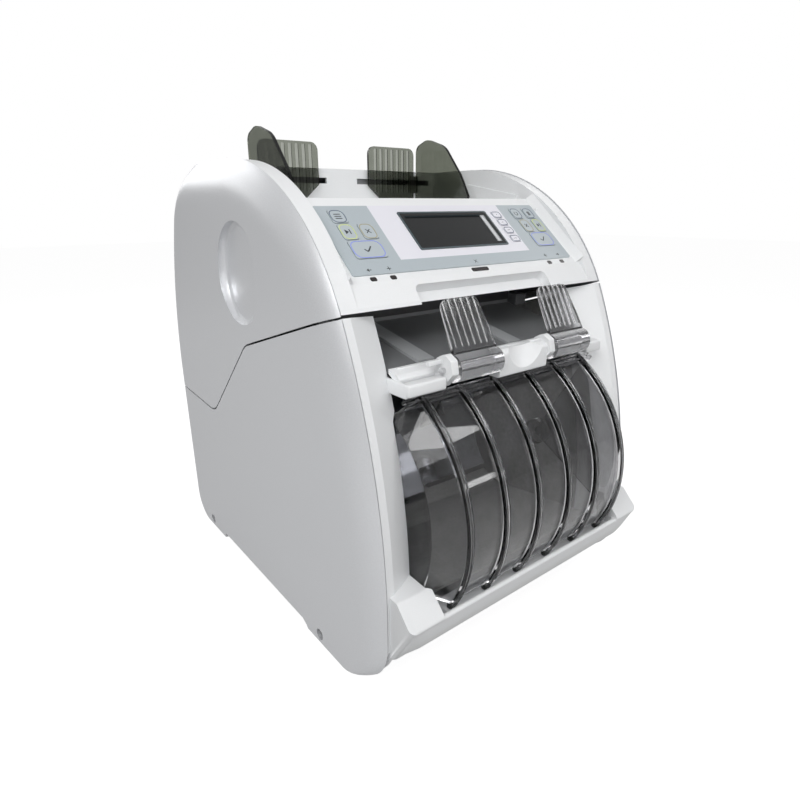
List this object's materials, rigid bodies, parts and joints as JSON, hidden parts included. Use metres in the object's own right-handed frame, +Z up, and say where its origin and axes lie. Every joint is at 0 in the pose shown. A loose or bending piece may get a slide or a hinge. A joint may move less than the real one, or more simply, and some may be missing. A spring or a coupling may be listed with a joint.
{
  "type": "banknote counting machine",
  "caption": "Desktop banknote counting machine with a top hopper, sloped key panel, folding reject stoppers, ribbed smoke stacker door and a tilting upper unit.",
  "frame": {"origin": "centre of the overall footprint, on the surface the rubber feet stand on", "axes": "+Z up, front faces -Y, +X to the viewer's right when facing the front"},
  "size_m": [0.28, 0.3686, 0.3861],
  "materials": {
    "silver_cover": "silver-grey satin paint on moulded plastic",
    "white_plastic": "satin moulded plastic",
    "panel_film": "printed polyester film",
    "key_film": "printed key caps",
    "black_plastic": "moulded",
    "display_glass": "display module",
    "lens_red": "unlit indicator windows",
    "smoke_plastic": "clear smoke-tinted polycarbonate",
    "dark_liner": "dark moulded pocket",
    "brushed_plate": "brushed plate",
    "sheet_steel": "plated sheet steel",
    "bright_steel": "turned steel",
    "grey_nylon": "moulded nylon",
    "rubber": "moulded rubber",
    "circuit_board": "green board"
  },
  "bodies": {
    "machine": {"base_plate": "sheet_steel", "rubber_feet": "rubber", "left_frame": "sheet_steel", "right_frame": "sheet_steel", "lower_left_cover": "silver_cover", "lower_right_cover": "silver_cover", "rear_cover": "white_plastic", "front_bezel": "white_plastic", "pocket_shelf": "white_plastic", "stopper_rods": "bright_steel", "reject_pocket": "dark_liner", "pocket_arms": "brushed_plate", "stacker_back": "brushed_plate", "stacker_floor": "brushed_plate", "main_motor": "bright_steel", "drive_belt": "rubber", "control_board": "circuit_board", "power_supply": "black_plastic", "power_inlet": "black_plastic", "cover_screws": "bright_steel", "lower_hinge_leaves": "sheet_steel", "hinge_pins": "bright_steel"},
    "upper_unit": {"top_cover": "white_plastic", "upper_left_cover": "silver_cover", "upper_right_cover": "silver_cover", "upper_rear_cover": "white_plastic", "hopper_bed": "white_plastic", "panel_overlay": "panel_film", "display_bezel": "black_plastic", "display_glass": "display_glass", "indicator_lenses": "lens_red", "upper_frame": "sheet_steel", "upper_hinge_leaves": "sheet_steel"},
    "door": {"stacker_door": "smoke_plastic"},
    "left_guide": {"left_guide": "smoke_plastic", "left_rack": "grey_nylon"},
    "right_guide": {"right_guide": "smoke_plastic", "right_rack": "grey_nylon"},
    "pinion": {"guide_pinion": "grey_nylon"},
    "left_stopper": {"left_stopper": "smoke_plastic"},
    "right_stopper": {"right_stopper": "smoke_plastic"},
    "rocker": {"power_rocker": "black_plastic"},
    "motor": {"motor_pulley": "bright_steel"},
    "stacker_wheels": {"stacker_wheels": "rubber"},
    "transport_roller": {"transport_roller": "rubber"},
    "pickup_roller": {"pickup_roller": "rubber"},
    "key_menu": {"key_menu": "key_film"},
    "key_left_start": {"key_left_start": "key_film"},
    "key_left_clear": {"key_left_clear": "key_film"},
    "key_left_accept": {"key_left_accept": "key_film"},
    "key_f1": {"key_f1": "key_film"},
    "key_f2": {"key_f2": "key_film"},
    "key_f3": {"key_f3": "key_film"},
    "key_f4": {"key_f4": "key_film"},
    "key_right_mode": {"key_right_mode": "key_film"},
    "key_right_batch": {"key_right_batch": "key_film"},
    "key_right_clear": {"key_right_clear": "key_film"},
    "key_right_start": {"key_right_start": "key_film"},
    "key_right_accept": {"key_right_accept": "key_film"}
  },
  "joints": [
    {"name": "upper_unit_tilt", "type": "hinge", "parent": "machine", "child": "upper_unit", "pos_m": [0, 0.17935, 0.152], "axis": [-1, 0, 0], "range_deg": [0, 45]},
    {"name": "stacker_door_lift", "type": "hinge", "parent": "machine", "child": "door", "pos_m": [0, -0.08135, 0.121], "axis": [-1, 0, 0], "range_deg": [0, 75]},
    {"name": "left_guide_slide", "type": "slide", "parent": "upper_unit", "child": "left_guide", "axis": [1, 0, 0], "range_m": [0, 0.025]},
    {"name": "right_guide_slide", "type": "slide", "parent": "upper_unit", "child": "right_guide", "axis": [-1, 0, 0], "range_m": [0, 0.025]},
    {"name": "guide_pinion_turn", "type": "hinge", "parent": "upper_unit", "child": "pinion", "pos_m": [0, 0.08785, 0.3337], "axis": [0, -1, 0], "range_deg": [0, 142]},
    {"name": "left_stopper_fold", "type": "hinge", "parent": "machine", "child": "left_stopper", "pos_m": [-0.0415, -0.13815, 0.224], "axis": [1, 0, 0], "range_deg": [0, 75], "stiffness_Nm_per_rad": 0.02, "springref_deg": -17.19},
    {"name": "right_stopper_fold", "type": "hinge", "parent": "machine", "child": "right_stopper", "pos_m": [0.0565, -0.13815, 0.224], "axis": [1, 0, 0], "range_deg": [0, 75], "stiffness_Nm_per_rad": 0.02, "springref_deg": -17.19},
    {"name": "power_rocker_tip", "type": "hinge", "parent": "machine", "child": "rocker", "pos_m": [-0.055, 0.17785, 0.05], "axis": [1, 0, 0], "range_deg": [-8, 8]},
    {"name": "motor_spin", "type": "hinge", "parent": "machine", "child": "motor", "pos_m": [0, 0.10335, 0.06], "axis": [1, 0, 0], "continuous": true},
    {"name": "stacker_wheel_spin", "type": "hinge", "parent": "machine", "child": "stacker_wheels", "pos_m": [0, 0.00735, 0.15], "axis": [1, 0, 0], "continuous": true},
    {"name": "transport_roller_spin", "type": "hinge", "parent": "machine", "child": "transport_roller", "pos_m": [0, 0.05535, 0.148], "axis": [1, 0, 0], "continuous": true},
    {"name": "pickup_roller_spin", "type": "hinge", "parent": "upper_unit", "child": "pickup_roller", "pos_m": [0, 0.01335, 0.296], "axis": [1, 0, 0], "continuous": true},
    {"name": "key_menu_press", "type": "slide", "parent": "upper_unit", "child": "key_menu", "axis": [0, 0.6587, -0.7524], "range_m": [0, 0.0008], "stiffness_N_per_m": 800},
    {"name": "key_left_start_press", "type": "slide", "parent": "upper_unit", "child": "key_left_start", "axis": [0, 0.6587, -0.7524], "range_m": [0, 0.0008], "stiffness_N_per_m": 800},
    {"name": "key_left_clear_press", "type": "slide", "parent": "upper_unit", "child": "key_left_clear", "axis": [0, 0.6587, -0.7524], "range_m": [0, 0.0008], "stiffness_N_per_m": 800},
    {"name": "key_left_accept_press", "type": "slide", "parent": "upper_unit", "child": "key_left_accept", "axis": [0, 0.6587, -0.7524], "range_m": [0, 0.0008], "stiffness_N_per_m": 800},
    {"name": "key_f1_press", "type": "slide", "parent": "upper_unit", "child": "key_f1", "axis": [0, 0.6587, -0.7524], "range_m": [0, 0.0008], "stiffness_N_per_m": 800},
    {"name": "key_f2_press", "type": "slide", "parent": "upper_unit", "child": "key_f2", "axis": [0, 0.6587, -0.7524], "range_m": [0, 0.0008], "stiffness_N_per_m": 800},
    {"name": "key_f3_press", "type": "slide", "parent": "upper_unit", "child": "key_f3", "axis": [0, 0.6587, -0.7524], "range_m": [0, 0.0008], "stiffness_N_per_m": 800},
    {"name": "key_f4_press", "type": "slide", "parent": "upper_unit", "child": "key_f4", "axis": [0, 0.6587, -0.7524], "range_m": [0, 0.0008], "stiffness_N_per_m": 800},
    {"name": "key_right_mode_press", "type": "slide", "parent": "upper_unit", "child": "key_right_mode", "axis": [0, 0.6587, -0.7524], "range_m": [0, 0.0008], "stiffness_N_per_m": 800},
    {"name": "key_right_batch_press", "type": "slide", "parent": "upper_unit", "child": "key_right_batch", "axis": [0, 0.6587, -0.7524], "range_m": [0, 0.0008], "stiffness_N_per_m": 800},
    {"name": "key_right_clear_press", "type": "slide", "parent": "upper_unit", "child": "key_right_clear", "axis": [0, 0.6587, -0.7524], "range_m": [0, 0.0008], "stiffness_N_per_m": 800},
    {"name": "key_right_start_press", "type": "slide", "parent": "upper_unit", "child": "key_right_start", "axis": [0, 0.6587, -0.7524], "range_m": [0, 0.0008], "stiffness_N_per_m": 800},
    {"name": "key_right_accept_press", "type": "slide", "parent": "upper_unit", "child": "key_right_accept", "axis": [0, 0.6587, -0.7524], "range_m": [0, 0.0008], "stiffness_N_per_m": 800}
  ],
  "couplings": [
    {"joint": "right_guide_slide", "follows": "left_guide_slide", "ratio": 1},
    {"joint": "guide_pinion_turn", "follows": "left_guide_slide", "rad_per_m": 98.522},
    {"joint": "motor_spin", "follows": "transport_roller_spin", "ratio": 1},
    {"joint": "stacker_wheel_spin", "follows": "transport_roller_spin", "ratio": 1}
  ]
}
